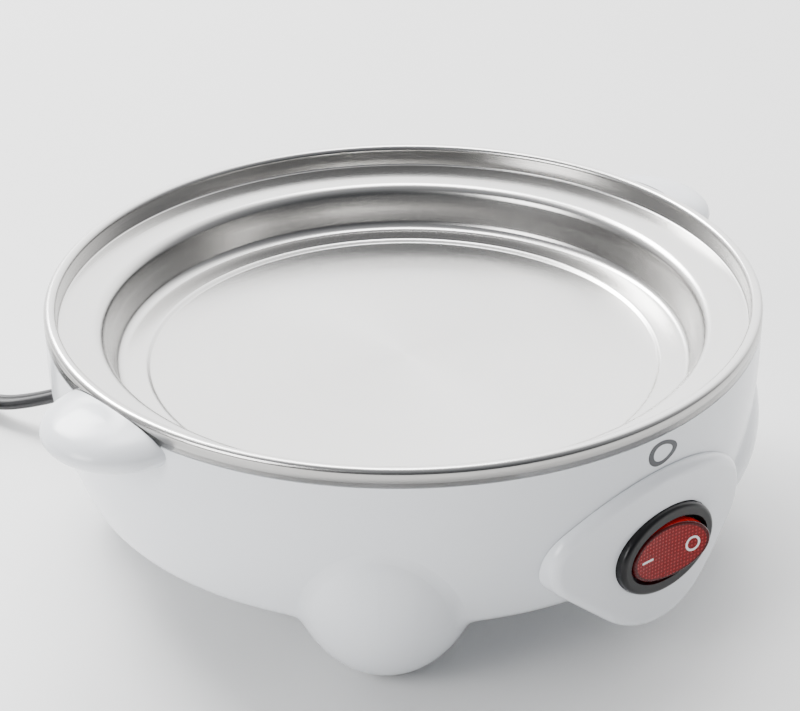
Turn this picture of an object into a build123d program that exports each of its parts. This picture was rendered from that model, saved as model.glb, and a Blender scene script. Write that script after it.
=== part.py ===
"""Round electric egg cooker base: steel boiling bowl in a white housing with a rocker switch.

Millimetres, +Z up, origin on the ground under the bowl's centre. The switch faces -Y, the two
ear handles point along -X and +X, and the lead leaves at the back.
"""
import os
from math import atan2, cos, degrees, hypot, pi, radians, sin, tan

from build123d import *

# ---- driving dimensions ---------------------------------------------------------------------
rim_height = 66.0            # top of the bowl's rolled rim
rim_radius = 87.9            # outside of the steel band and of the housing below it
sheet = 0.6                  # bowl sheet thickness
band_bottom = 61.8           # lower edge of the steel band
gasket_height = 0.6          # silicone ring between the band's gutter and the housing's lip
seat_radius = 85.2           # middle of the sheet in the lid seat wall
ledge_outer_z, ledge_inner_z = 60.2, 58.4
well_top_radius, well_floor_radius = 74.4, 71.5
ring_floor_z, plate_floor_z = 47.2, 46.5
bead_outer_radius, bead_inner_radius = 64.2, 63.2

wall = 2.2                   # housing wall
shoulder_z = 61.5            # housing shoulder under the steel band
lip_radius, lip_top = 87.0, 64.2
belly_start_z = 54.0         # below this height the wall curves in
belly_radius = 83.0          # radius of the wall's section arc
floor_z = 18.3               # underside of the housing floor
edge_radius = 8.0            # rounding between wall and floor

foot_ring, foot_radius = 66.0, 23.2
foot_half_height, foot_centre_z = 30.4, 31.0
foot_fillet = 6.0
pad_radius, pad_height = 5.5, 2.0

ear_centre, ear_middle_z, ear_half = 84.9, 59.2, (18.5, 6.4)
ear_gap = 0.3                # between an ear and the steel band

panel_face = 90.3            # radius of the switch panel's face
panel_back = 82.0            # radius of its back below the housing floor
panel_top, panel_bottom = 53.0, 12.3
panel_corner_x, panel_corner_z, panel_corner_radius = 20.5, 35.9, 10.0
panel_side_slope = radians(40.8)
panel_screw_angle, panel_screw_z = 15.0, 42.0

switch_z = 32.8
bezel_half, bezel_front, bezel_back = (15.0, 10.75), 91.4, 88.8
barrel_half, barrel_back = (13.6, 9.3), 73.0
cap_half, cap_front, cap_back = (11.3, 7.0), 93.2, 89.6
rocker_pivot = 88.0          # distance of the pivot in front of the bowl's axis
rocker_tilt = 7.0            # degrees each way from the middle
terminal_pitch = 8.0
lever_pivot = 78.4

plate_radius, plate_bottom = 56.0, 43.2
heater_ring, heater_radius, heater_z = 44.0, 3.3, 41.5
heater_gap_angle = 60.0      # open part of the heating ring, at the back
seal_length, pin_length, pin_radius = 5.0, 8.0, 1.15
thermostat_radius, thermostat_bottom, cap_height = 8.0, 29.0, 4.0
thermostat_screw_y = 12.0
fuse_y, fuse_radius, fuse_half = 24.0, 2.0, 5.5

cover_radius, cover_bottom, cover_plate = 40.2, 17.9, 1.5
spigot_radius, spigot_top = 37.6, 21.4
post_ring, post_radius, post_start = 30.0, 3.5, 30.0

wire_radius = 1.1
cord_width = 5.9
cord_angle = radians(25.0)   # of the lead's outlet, from +Y towards -X
cord_slope = radians(25.0)   # of the outlet, below level
relief_length, relief_inside = 23.0, 9.0
coil_centre, coil_radius = (-94.0, 132.0), 33.0
coil_half_band, coil_height = 7.0, 8.0
plug_x, plug_z = -131.0, 6.6

os.makedirs("parts", exist_ok=True)
finished = []


def finish(part, name):
    """Label a finished piece and write it."""
    part.label = name
    export_step(part, f"parts/{name}.step")
    finished.append(name)


# ---- bowl -----------------------------------------------------------------------------------
with BuildPart() as bowl:
    with BuildSketch(Plane.XZ):
        with BuildLine():
            FilletPolyline(
                (rim_radius - sheet / 2, band_bottom),
                (rim_radius - sheet / 2, rim_height - sheet / 2),
                (seat_radius, rim_height - sheet / 2),
                (seat_radius, ledge_outer_z),
                (well_top_radius, ledge_inner_z),
                (well_floor_radius, ring_floor_z),
                (bead_outer_radius, ring_floor_z),
                (bead_inner_radius, plate_floor_z),
                (0, plate_floor_z),
                radius=[1.1, 1.1, 0.9, 3.2, 3.0, 0.8, 0.8],
            )
        trace(line_width=sheet)
    revolve(axis=Axis.Z)
finish(bowl.part, "bowl")

with BuildPart() as rim_gasket:
    with BuildSketch(Plane.XY.offset(lip_top)):
        Circle(lip_radius - 0.1)
        Circle(rim_radius - wall + 0.1, mode=Mode.SUBTRACT)
    extrude(amount=gasket_height)
finish(rim_gasket.part, "rim_gasket")


# ---- housing: round body, four egg-shaped feet and two ear handles in one moulding -----------
def body_form(inset, bottom, top):
    """The round body without feet or ears, with every wall moved in by inset."""
    arc = belly_radius - inset
    reach = rim_radius - belly_radius
    fall = belly_start_z - bottom
    low_angle = degrees(atan2(fall, (arc**2 - fall**2) ** 0.5))
    with BuildPart() as form:
        with BuildSketch(Plane.XZ):
            with BuildLine():
                side = Line((reach + arc, top), (reach + arc, belly_start_z))
                belly = CenterArc((reach, belly_start_z), arc, 0, -low_angle)
                Polyline(belly @ 1, (0, bottom), (0, top), side @ 0)
            face = make_face()
            fillet(face.vertices().group_by(Axis.Y)[0].sort_by(Axis.X)[-1], edge_radius - inset)
        revolve(axis=Axis.Z)
    return form.part


def egg_form(radius, half_height):
    """An egg about its own centre, round in plan."""
    with BuildPart() as form:
        with BuildSketch(Plane.XZ):
            Ellipse(radius, half_height)
            Rectangle(radius * 2, half_height * 3, align=(Align.MAX, Align.CENTER), mode=Mode.SUBTRACT)
        revolve(axis=Axis.Z)
    return form.part


cord_out = Vector(-sin(cord_angle), cos(cord_angle), 0)
cord_side = Vector(cos(cord_angle), sin(cord_angle), 0)
cord_dir = cord_out * cos(cord_slope) - Vector(0, 0, sin(cord_slope))
cord_entry = cord_out * 81.5 + Vector(0, 0, 22.2)
outlet = Plane(cord_entry, x_dir=cord_side, z_dir=cord_dir)
outlet_proud = 1.6


def panel_screw_plane(side):
    """A plane on the bowl's axis side that faces outward through one panel screw."""
    angle = radians(panel_screw_angle) * side
    return Plane((0, 0, panel_screw_z), z_dir=(sin(angle), -cos(angle), 0))


with BuildPart() as housing:
    add(body_form(0, floor_z, shoulder_z))
    with PolarLocations(foot_ring, 4, start_angle=45):
        with Locations((0, 0, foot_centre_z)):
            add(egg_form(foot_radius, foot_half_height))
    seams = housing.edges().filter_by(GeomType.BSPLINE) + housing.edges().filter_by(GeomType.ELLIPSE)
    fillet(seams, foot_fillet)
    with BuildSketch(Plane.XY.offset(shoulder_z)):
        Circle(lip_radius)
    extrude(amount=lip_top - shoulder_z)
    with PolarLocations(ear_centre, 2):
        with Locations((0, 0, ear_middle_z)):
            add(egg_form(*ear_half))
    add(body_form(wall, floor_z + wall, lip_top + 1), mode=Mode.SUBTRACT)
    with PolarLocations(foot_ring, 4, start_angle=45):
        with Locations((0, 0, foot_centre_z)):
            add(egg_form(foot_radius - wall, foot_half_height - wall), mode=Mode.SUBTRACT)
        Cylinder(
            pad_radius + 0.2, pad_height, align=(Align.CENTER, Align.CENTER, Align.MIN), mode=Mode.SUBTRACT
        )
    with BuildSketch(Plane.XY.offset(shoulder_z)):
        Circle(rim_radius + ear_gap)
        Circle(lip_radius, mode=Mode.SUBTRACT)
    extrude(amount=rim_height - shoulder_z, mode=Mode.SUBTRACT)
    with BuildSketch(Plane.XY.offset(lip_top)):
        Circle(rim_radius + ear_gap)
    extrude(amount=rim_height - lip_top, mode=Mode.SUBTRACT)
    with BuildSketch(Plane.XY.offset(floor_z - 1)):
        Circle(cover_radius + 0.3)
    extrude(amount=cover_bottom + cover_plate + 1.05 - floor_z, mode=Mode.SUBTRACT)
    with BuildSketch(Plane.XY.offset(floor_z)):
        Circle(spigot_radius + 0.3)
    extrude(amount=wall + 1, mode=Mode.SUBTRACT)
    with BuildSketch(Plane.XZ.offset(barrel_back - 4)):
        with Locations((0, switch_z)):
            Ellipse(barrel_half[0] + 1, barrel_half[1] + 1)
    extrude(amount=25, mode=Mode.SUBTRACT)
    for side in (-1, 1):
        with BuildSketch(panel_screw_plane(side).offset(80)):
            Circle(1.7)
        extrude(amount=8, mode=Mode.SUBTRACT)
    with BuildSketch(outlet.offset(-3)):
        Circle(6.2)
    extrude(amount=3 + outlet_proud)
    with BuildSketch(outlet.offset(-relief_inside)):
        Circle(3.8)
    extrude(amount=relief_inside + 4, mode=Mode.SUBTRACT)
    with BuildSketch(outlet.offset(-relief_inside)):
        Circle(4.5)
    extrude(amount=relief_inside - 3.1, mode=Mode.SUBTRACT)
finish(housing.part, "housing")

with BuildPart() as foot_pads:
    with PolarLocations(foot_ring, 4, start_angle=45):
        Cylinder(pad_radius, pad_height, align=(Align.CENTER, Align.CENTER, Align.MIN))
    fillet(foot_pads.edges().group_by(Axis.Z)[0], 0.5)
finish(foot_pads.part, "foot_pads")

# ---- switch panel ---------------------------------------------------------------------------
# Its outline is a rounded triangle: a flat arch on top, a tight arc at each upper corner,
# straight sides and a wide arc at the bottom, all tangent.
side_normal = Vector(sin(panel_side_slope), -cos(panel_side_slope))
side_offset = side_normal.X * panel_corner_x + side_normal.Y * panel_corner_z + panel_corner_radius
bottom_z = (panel_bottom + side_offset) / (1 + side_normal.Y)
bottom_radius = bottom_z - panel_bottom
rise = panel_top - panel_corner_z
arch_radius = (panel_corner_x**2 + rise**2 - panel_corner_radius**2) / (2 * (rise - panel_corner_radius))
arch_z = panel_top - arch_radius


def panel_outline(inset):
    """The panel's outline as a face in its front plane, moved in by inset."""
    corner, bottom, arch = panel_corner_radius - inset, bottom_radius - inset, arch_radius - inset
    corner_centre = Vector(panel_corner_x, panel_corner_z)
    arch_end = Vector(0, arch_z) + (corner_centre - Vector(0, arch_z)).normalized() * arch
    corner_end = corner_centre + side_normal * corner
    side_end = Vector(0, bottom_z) + side_normal * bottom
    with BuildSketch() as outline:
        with BuildLine():
            ThreePointArc((0, panel_top - inset), Vector(0, arch_z) + Vector(sin(0.3), cos(0.3)) * arch, arch_end)
            ThreePointArc(arch_end, corner_centre + Vector(corner, 0), corner_end)
            Line(corner_end, side_end)
            ThreePointArc(
                side_end, Vector(0, bottom_z) + Vector(sin(0.3), -cos(0.3)) * bottom, (0, panel_bottom + inset)
            )
            Line((0, panel_bottom + inset), (0, panel_top - inset))
        make_face()
        mirror(about=Plane.YZ)
    return outline.sketch


def bezel_ellipse(half, front, back):
    """An elliptical block round the switch's middle between two distances in front of the axis."""
    with BuildPart() as block:
        with BuildSketch(Plane.XZ.offset(back)):
            with Locations((0, switch_z)):
                Ellipse(*half)
        extrude(amount=front - back)
    return block.part


with BuildPart() as panel_pocket:
    with BuildSketch(Plane.XZ.offset(70)):
        add(panel_outline(wall))
        Rectangle(80, floor_z + 4, align=(Align.CENTER, Align.MIN), mode=Mode.SUBTRACT)
    extrude(amount=25)
    Cylinder(panel_face - wall, rim_height * 2, mode=Mode.INTERSECT)

with BuildPart() as switch_panel:
    with BuildSketch(Plane.XZ.offset(70)):
        add(panel_outline(0))
    extrude(amount=25)
    Cylinder(panel_face, rim_height * 2, mode=Mode.INTERSECT)
    face_rim = [e for e in switch_panel.edges() if min(hypot(v.X, v.Y) for v in e.vertices()) > panel_face - 0.1]
    fillet(face_rim, 2.8)
    add(panel_pocket.part, mode=Mode.SUBTRACT)
    for side in (-1, 1):
        with BuildSketch(panel_screw_plane(side).offset(84)):
            Circle(3.2)
        extrude(amount=4.6)
    add(body_form(-0.1, floor_z - 0.1, shoulder_z), mode=Mode.SUBTRACT)
    Cylinder(panel_back, rim_height * 2, mode=Mode.SUBTRACT)
    add(bezel_ellipse((bezel_half[0] + 0.2, bezel_half[1] + 0.2), bezel_front + 4, bezel_back), mode=Mode.SUBTRACT)
    add(bezel_ellipse((barrel_half[0] + 0.2, barrel_half[1] + 0.2), bezel_front, barrel_back), mode=Mode.SUBTRACT)
    for side in (-1, 1):
        with BuildSketch(panel_screw_plane(side).offset(80)):
            Circle(1.5)
        extrude(amount=9.2, mode=Mode.SUBTRACT)
finish(switch_panel.part, "switch_panel")

with BuildPart() as panel_screws:
    for side in (-1, 1):
        with BuildSketch(panel_screw_plane(side).offset(82.2)):
            Circle(2.8)
        extrude(amount=1.9)
        with BuildSketch(panel_screw_plane(side).offset(83.5)):
            Circle(1.45)
        extrude(amount=5.4)
finish(panel_screws.part, "panel_screws")

# ---- rocker switch --------------------------------------------------------------------------
recess_half, recess_floor = (12.5, 7.85), 87.6
cavity_half, cavity_floor = (11.4, 7.3), 76.0
neck_half, neck_depth = (10.4, 6.5), 5.0
blade_width, blade_thick = 6.3, 0.8

with BuildPart() as switch_body:
    add(bezel_ellipse(bezel_half, bezel_front, bezel_back))
    fillet(switch_body.edges().sort_by(Axis.Y)[0], 1.1)
    add(bezel_ellipse(barrel_half, bezel_back, barrel_back))
    add(bezel_ellipse(recess_half, bezel_front + 1, recess_floor), mode=Mode.SUBTRACT)
    add(bezel_ellipse(cavity_half, recess_floor, cavity_floor), mode=Mode.SUBTRACT)
    with Locations((0, -rocker_pivot, switch_z)):
        Cylinder(1.15, 18.4, mode=Mode.SUBTRACT)
    with Locations(*[(x, -barrel_back, switch_z) for x in (-terminal_pitch, 0, terminal_pitch)]):
        Box(blade_thick + 0.1, 10, blade_width + 0.1, mode=Mode.SUBTRACT)
finish(switch_body.part, "switch_body")

with BuildPart() as switch_terminals:
    for x, front in ((-terminal_pitch, 76.6), (0, 77.8), (terminal_pitch, 76.6)):
        with Locations((x, -front, switch_z)):
            Box(blade_thick, front - 62.5, blade_width, align=(Align.CENTER, Align.MIN, Align.CENTER))
finish(switch_terminals.part, "switch_terminals")

tilt = radians(rocker_tilt)
rocker_frame = Plane(
    (0, -rocker_pivot, switch_z), x_dir=(cos(tilt), -sin(tilt), 0), z_dir=(-sin(tilt), -cos(tilt), 0)
)
cap_low, cap_high = cap_back - rocker_pivot, cap_front - rocker_pivot
dish_radius = 70.0
dish_depth = 1.2
plunger_y, lamp_y = -2.2, 2.0
hollow_top = 2.6             # inside of the lens above the pivot
neck_floor = -neck_depth

with BuildPart() as rocker:
    with BuildSketch(rocker_frame.offset(cap_low)):
        Ellipse(*cap_half)
    extrude(amount=cap_high - cap_low)
    with BuildSketch(rocker_frame.offset(neck_floor)):
        Ellipse(*neck_half)
    extrude(amount=cap_low + neck_depth)
    with Locations(rocker_frame):
        with Locations(Location((0, 0, cap_high + dish_radius - dish_depth), (90, 0, 0))):
            Cylinder(dish_radius, 30, mode=Mode.SUBTRACT)
    crown = [e for e in rocker.edges() if rocker_frame.to_local_coords(e.center()).Z > cap_high - dish_depth - 0.3]
    fillet(crown, 0.5)
    with Locations((0, -rocker_pivot, switch_z)):
        Cylinder(1.1, 18.0)
    with BuildSketch(rocker_frame.offset(neck_floor)):
        Ellipse(neck_half[0] - 1.8, neck_half[1] - 1.7)
    extrude(amount=neck_depth + hollow_top, mode=Mode.SUBTRACT)
    with BuildSketch(rocker_frame.offset(neck_floor)):
        with Locations((0, plunger_y)):
            Circle(2.2)
    extrude(amount=neck_depth + hollow_top + 0.4)
    with BuildSketch(rocker_frame.offset(neck_floor)):
        with Locations((0, plunger_y)):
            Circle(1.3)
    extrude(amount=neck_depth + 2.0, mode=Mode.SUBTRACT)
finish(rocker.part, "rocker")

with BuildPart() as detent_plunger:
    with BuildSketch(rocker_frame.offset(-9.0)):
        with Locations((0, plunger_y)):
            Circle(1.2)
    extrude(amount=9.0)
    tip = detent_plunger.edges().sort_by(lambda e: rocker_frame.to_local_coords(e.center()).Z)[0]
    fillet(tip, 1.0)
finish(detent_plunger.part, "detent_plunger")

with BuildPart() as spring_coil:
    with BuildLine():
        turns = Helix(pitch=0.6, height=1.2, radius=0.85)
    with BuildSketch(Plane(turns @ 0, z_dir=turns % 0)):
        Circle(0.15)
    sweep(path=turns, is_frenet=True)
with BuildPart() as detent_spring:
    with Locations(rocker_frame):
        with Locations((0, plunger_y, 0.4)):
            add(spring_coil.part)
finish(detent_spring.part, "detent_spring")

with BuildPart() as neon_lamp:
    with Locations(rocker_frame):
        with Locations(Location((0, lamp_y, hollow_top - 2.0), (0, 90, 0))):
            Cylinder(1.7, 9.0)
    fillet(neon_lamp.edges(), 1.2)
finish(neon_lamp.part, "neon_lamp")

with BuildPart() as contact_lever:
    lever_frame = Plane(
        (0, -lever_pivot, switch_z), x_dir=(cos(tilt), sin(tilt), 0), z_dir=(sin(tilt), -cos(tilt), 0)
    )
    with BuildSketch(lever_frame.offset(-0.4)):
        RectangleRounded(17.6, 4.4, 1.0)
    extrude(amount=0.8)
finish(contact_lever.part, "contact_lever")

# ---- heater under the bowl ------------------------------------------------------------------
plate_top = plate_floor_z - sheet / 2
ring_half_gap = heater_gap_angle / 2
post_spots = [
    (post_ring * cos(radians(a)), post_ring * sin(radians(a))) for a in (post_start, post_start + 120, post_start + 240)
]
bracket_spots = [(0, -thermostat_screw_y), (0, thermostat_screw_y)]
fuse_screw_y = fuse_y + 7.0


def ring_end(side):
    """A plane on one end of the heating ring, facing away from the tube along it."""
    angle = radians(90 - side * ring_half_gap)
    spot = Vector(heater_ring * cos(angle), heater_ring * sin(angle), heater_z)
    return Plane(spot, z_dir=(-side * sin(angle), side * cos(angle), 0))


with BuildPart() as heat_plate:
    with BuildSketch(Plane.XY.offset(plate_bottom)):
        Circle(plate_radius)
    extrude(amount=plate_top - plate_bottom)
    chamfer(heat_plate.edges().group_by(Axis.Z)[0], 0.6)
    with BuildSketch(Plane.XY.offset(plate_bottom - cap_height)):
        with Locations(*bracket_spots):
            Circle(3.2)
    extrude(amount=cap_height + 0.5)
    with Locations((0, 0, heater_z)):
        Torus(heater_ring, heater_radius + 0.05, mode=Mode.SUBTRACT)
    with Locations(*[(x, y, plate_bottom) for x, y in post_spots]):
        Cylinder(2.0, 2.3, align=(Align.CENTER, Align.CENTER, Align.MIN), mode=Mode.SUBTRACT)
    with Locations(*[(x, y, plate_bottom - cap_height) for x, y in bracket_spots]):
        Cylinder(1.3, 6.0, align=(Align.CENTER, Align.CENTER, Align.MIN), mode=Mode.SUBTRACT)
    with Locations((0, fuse_screw_y, plate_bottom)):
        Cylinder(1.3, 2.0, align=(Align.CENTER, Align.CENTER, Align.MIN), mode=Mode.SUBTRACT)
finish(heat_plate.part, "heat_plate")

with BuildPart() as heating_tube:
    with BuildSketch(Plane.XZ):
        with Locations((heater_ring, heater_z)):
            Circle(heater_radius)
    revolve(axis=Axis.Z, revolution_arc=360 - heater_gap_angle)
with BuildPart() as placed_tube:
    with Locations(Location((0, 0, 0), (0, 0, 90 + ring_half_gap))):
        add(heating_tube.part)
finish(placed_tube.part, "heating_tube")

with BuildPart() as heater_seals:
    for side in (-1, 1):
        with BuildSketch(ring_end(side)):
            Circle(heater_radius - 0.3)
            Circle(pin_radius + 0.05, mode=Mode.SUBTRACT)
        extrude(amount=seal_length)
finish(heater_seals.part, "heater_seals")

with BuildPart() as heater_pins:
    for side in (-1, 1):
        with BuildSketch(ring_end(side)):
            Circle(pin_radius)
        extrude(amount=seal_length + pin_length)
finish(heater_pins.part, "heater_pins")

with BuildPart() as crimp_sleeves:
    for side in (-1, 1):
        with BuildSketch(ring_end(side).offset(seal_length + pin_length - 3)):
            Circle(1.65)
            Circle(pin_radius + 0.05, mode=Mode.SUBTRACT)
        extrude(amount=7.0)
finish(crimp_sleeves.part, "crimp_sleeves")

# ---- thermostat, thermal fuse and their fixings ----------------------------------------------
flange_top = plate_bottom - cap_height
flange_thick = 0.9

with BuildPart() as thermostat_cap:
    with BuildSketch(Plane.XY.offset(flange_top)):
        Circle(thermostat_radius - 0.1)
    extrude(amount=cap_height)
    fillet(thermostat_cap.edges().group_by(Axis.Z)[-1], 0.6)
finish(thermostat_cap.part, "thermostat_cap")

with BuildPart() as thermostat_bracket:
    with BuildSketch(Plane.XY.offset(flange_top - flange_thick)):
        SlotCenterToCenter(thermostat_screw_y * 2, 7.0, rotation=90)
        with Locations(*bracket_spots):
            Circle(1.5, mode=Mode.SUBTRACT)
    extrude(amount=flange_thick)
finish(thermostat_bracket.part, "thermostat_bracket")

with BuildPart() as thermostat_body:
    with BuildSketch(Plane.XY.offset(thermostat_bottom)):
        Circle(thermostat_radius)
    extrude(amount=flange_top - flange_thick - thermostat_bottom)
    fillet(thermostat_body.edges().group_by(Axis.Z)[0], 0.8)
    with Locations((0, 0, thermostat_bottom + 2)):
        Box(30, blade_width + 0.1, blade_thick + 0.1, mode=Mode.SUBTRACT)
        Box(10, blade_width + 1, 2.5)
finish(thermostat_body.part, "thermostat_body")

with BuildPart() as thermostat_tabs:
    with Locations(*[(side * 12.7, 0, thermostat_bottom + 2) for side in (-1, 1)]):
        Box(15.0, blade_width, blade_thick)
finish(thermostat_tabs.part, "thermostat_tabs")

with BuildPart() as thermostat_screws:
    with Locations(*[(x, y, flange_top - flange_thick) for x, y in bracket_spots]):
        Cylinder(2.5, 1.6, align=(Align.CENTER, Align.CENTER, Align.MAX))
        Cylinder(1.25, 6.0, align=(Align.CENTER, Align.CENTER, Align.MIN))
finish(thermostat_screws.part, "thermostat_screws")

with BuildPart() as thermal_fuse:
    with Locations(Location((0, fuse_y, plate_bottom - fuse_radius), (0, 90, 0))):
        Cylinder(fuse_radius, fuse_half * 2)
    fillet(thermal_fuse.edges(), 0.8)
    with Locations(Location((0, fuse_y, plate_bottom - fuse_radius), (0, 90, 0))):
        Cylinder(0.5, fuse_half * 2 + 3)
finish(thermal_fuse.part, "thermal_fuse")

clip_thick = 0.5
with BuildPart() as fuse_clip:
    with BuildSketch(Plane.YZ.offset(-2.5)):
        with Locations((fuse_y, plate_bottom - fuse_radius)):
            Circle(fuse_radius + 0.05 + clip_thick)
            Rectangle(fuse_radius * 2 + 1.1, fuse_radius + 0.05, align=(Align.CENTER, Align.MIN))
        with Locations((fuse_y - fuse_radius - 2.5, plate_bottom)):
            Rectangle(fuse_screw_y - fuse_y + fuse_radius + 5, clip_thick, align=(Align.MIN, Align.MAX))
        with Locations((fuse_y, plate_bottom - fuse_radius)):
            Circle(fuse_radius + 0.05, mode=Mode.SUBTRACT)
            Rectangle(fuse_radius * 2 + 0.1, fuse_radius * 2, align=(Align.CENTER, Align.MIN), mode=Mode.SUBTRACT)
        with Locations((0, plate_bottom)):
            Rectangle(200, 5, align=(Align.CENTER, Align.MIN), mode=Mode.SUBTRACT)
    extrude(amount=5)
    with Locations((0, fuse_screw_y, plate_bottom)):
        Cylinder(1.5, 5, mode=Mode.SUBTRACT)
finish(fuse_clip.part, "fuse_clip")

with BuildPart() as fuse_clip_screw:
    with Locations((0, fuse_screw_y, plate_bottom - clip_thick)):
        Cylinder(2.3, 1.5, align=(Align.CENTER, Align.CENTER, Align.MAX))
        Cylinder(1.25, 2.3, align=(Align.CENTER, Align.CENTER, Align.MIN))
finish(fuse_clip_screw.part, "fuse_clip_screw")

# ---- base cover and the posts that clamp bowl and housing together ---------------------------
with BuildPart() as tie_posts:
    with Locations(*[(x, y, spigot_top) for x, y in post_spots]):
        Cylinder(post_radius, plate_bottom - spigot_top, align=(Align.CENTER, Align.CENTER, Align.MIN))
        Cylinder(1.95, plate_bottom - spigot_top + 2.2, align=(Align.CENTER, Align.CENTER, Align.MIN))
        Cylinder(1.55, 11.0, align=(Align.CENTER, Align.CENTER, Align.MIN), mode=Mode.SUBTRACT)
finish(tie_posts.part, "tie_posts")

screw_head_top = cover_bottom + 2.0
with BuildPart() as base_cover:
    with BuildSketch(Plane.XY.offset(cover_bottom)):
        Circle(cover_radius)
    extrude(amount=cover_plate)
    fillet(base_cover.edges().group_by(Axis.Z)[0], 0.6)
    with BuildSketch(Plane.XY.offset(cover_bottom + cover_plate)):
        Circle(spigot_radius)
    extrude(amount=spigot_top - cover_bottom - cover_plate)
    with BuildSketch(Plane.XY.offset(cover_bottom)):
        with PolarLocations(17.5, 12):
            SlotOverall(15.0, 2.4)
    extrude(amount=6, mode=Mode.SUBTRACT)
    with Locations(*[(x, y, cover_bottom) for x, y in post_spots]):
        Cylinder(1.75, 6, align=(Align.CENTER, Align.CENTER, Align.MIN), mode=Mode.SUBTRACT)
        Cylinder(3.3, 2.0, align=(Align.CENTER, Align.CENTER, Align.MIN), mode=Mode.SUBTRACT)
finish(base_cover.part, "base_cover")

with BuildPart() as base_screws:
    with Locations(*[(x, y, screw_head_top) for x, y in post_spots]):
        Cylinder(3.0, 1.8, align=(Align.CENTER, Align.CENTER, Align.MAX))
        Cylinder(1.5, 11.0, align=(Align.CENTER, Align.CENTER, Align.MIN))
    with Locations(*[(x, y, screw_head_top - 1.8) for x, y in post_spots]):
        Box(3.6, 0.8, 1.4, mode=Mode.SUBTRACT)
        Box(0.8, 3.6, 1.4, mode=Mode.SUBTRACT)
finish(base_screws.part, "base_screws")

# ---- wiring inside --------------------------------------------------------------------------
sleeve_size = (9.0, 4.4, 10.0)
terminal_back = 62.5


def push_on_sleeve(mouth, depth):
    """A push-on sleeve whose slot opens at the mouth plane; depth is how far the blade goes in."""
    with BuildPart() as sleeve:
        with BuildSketch(mouth):
            RectangleRounded(sleeve_size[0], sleeve_size[1], 1.0)
        extrude(amount=sleeve_size[2])
        with BuildSketch(mouth):
            Rectangle(blade_width + 0.2, blade_thick + 0.2)
        extrude(amount=depth, mode=Mode.SUBTRACT)
        with BuildSketch(mouth.offset(sleeve_size[2] - 2)):
            Circle(wire_radius + 0.05)
        extrude(amount=2, mode=Mode.SUBTRACT)
    return sleeve.part


blade_reach = 7.5
with BuildPart() as push_on_sleeves:
    for x in (0, terminal_pitch):
        mouth = Plane((x, -terminal_back - blade_reach + 0.3, switch_z), x_dir=(0, 0, 1), z_dir=(0, 1, 0))
        add(push_on_sleeve(mouth, blade_reach))
    for side in (-1, 1):
        mouth = Plane((side * (20.2 - blade_reach + 0.3), 0, thermostat_bottom + 2), x_dir=(0, 1, 0), z_dir=(side, 0, 0))
        add(push_on_sleeve(mouth, blade_reach))
finish(push_on_sleeves.part, "push_on_sleeves")

sleeve_end_y = -terminal_back - blade_reach + 0.3 + sleeve_size[2]
sleeve_end_x = 20.2 - blade_reach + 0.3 + sleeve_size[2]
tab_z = thermostat_bottom + 2
wire_gate = cord_entry - cord_dir * relief_inside
pin_tip = {side: ring_end(side).origin + ring_end(side).z_dir * (seal_length + pin_length + 0.1) for side in (-1, 1)}


def wire(name, points, bend):
    """A round insulated wire through the points, with every corner rounded by bend."""
    with BuildPart() as made:
        with BuildLine() as line:
            FilletPolyline(*points, radius=bend)
        with BuildSketch(Plane(line.line @ 0, z_dir=line.line % 0)):
            Circle(wire_radius)
        sweep()
    finish(made.part, name)


wire("live_wire", [
    wire_gate - cord_side * 1.5, wire_gate - cord_side * 1.5 - cord_dir * 7, (-50, 36, 28), (-60, 5, 27),
    (-55, -28, 27), (-28, -46, 30), (0, -45, switch_z), (0, sleeve_end_y - 1.8, switch_z),
], 4.0)
wire("neutral_wire", [
    wire_gate + cord_side * 1.5, wire_gate + cord_side * 1.5 - cord_dir * 7, (-15, 42, 34),
    (-14, fuse_y, plate_bottom - fuse_radius), (-fuse_half - 1.6, fuse_y, plate_bottom - fuse_radius),
], 3.5)
wire("switched_wire", [
    (terminal_pitch, sleeve_end_y - 1.8, switch_z), (terminal_pitch, -46, switch_z), (34, -30, 29),
    (34, 0, tab_z), (sleeve_end_x - 1.8, 0, tab_z),
], 4.0)
wire("heater_wire", [
    (-sleeve_end_x + 1.8, 0, tab_z), (-33, 0, tab_z), (-33, 30, 27), (-3.4, 48.7, 27),
    (-3.4, pin_tip[-1].Y - (pin_tip[-1].X + 3.4) * tan(radians(ring_half_gap)), heater_z), pin_tip[-1],
], 2.6)
wire("fuse_wire", [
    (fuse_half + 1.6, fuse_y, plate_bottom - fuse_radius), (13, fuse_y, plate_bottom - fuse_radius),
    (13, 38, 34), (3.4, 48.7, 32),
    (3.4, pin_tip[1].Y + (pin_tip[1].X - 3.4) * tan(radians(ring_half_gap)), heater_z), pin_tip[1],
], 2.6)

# ---- mains lead -----------------------------------------------------------------------------
with BuildPart() as strain_relief:
    with BuildSketch(Plane(outlet.origin, x_dir=cord_side, z_dir=cord_side.cross(cord_dir))):
        with BuildLine():
            flange_in, flange_out = outlet_proud + 0.1, outlet_proud + 2.1
            Polyline(
                (0, -relief_inside), (3.6, -relief_inside), (4.3, -relief_inside + 1.5), (4.3, -3.3),
                (3.7, -3.3), (3.7, flange_in), (5.6, flange_in), (5.6, flange_out), (4.4, flange_out),
                (3.4, relief_length), (0, relief_length), close=True,
            )
        make_face()
    revolve(axis=Axis(outlet.origin, cord_dir))
finish(strain_relief.part, "strain_relief")

lead_start = cord_entry + cord_dir * relief_length
lead_points = [
    lead_start, lead_start + cord_dir * 9, (-52.5, 112.5, 4.4), (-59.0, 131.0, 3.0), (-64.3, 146.5, 3.0),
]


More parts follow.
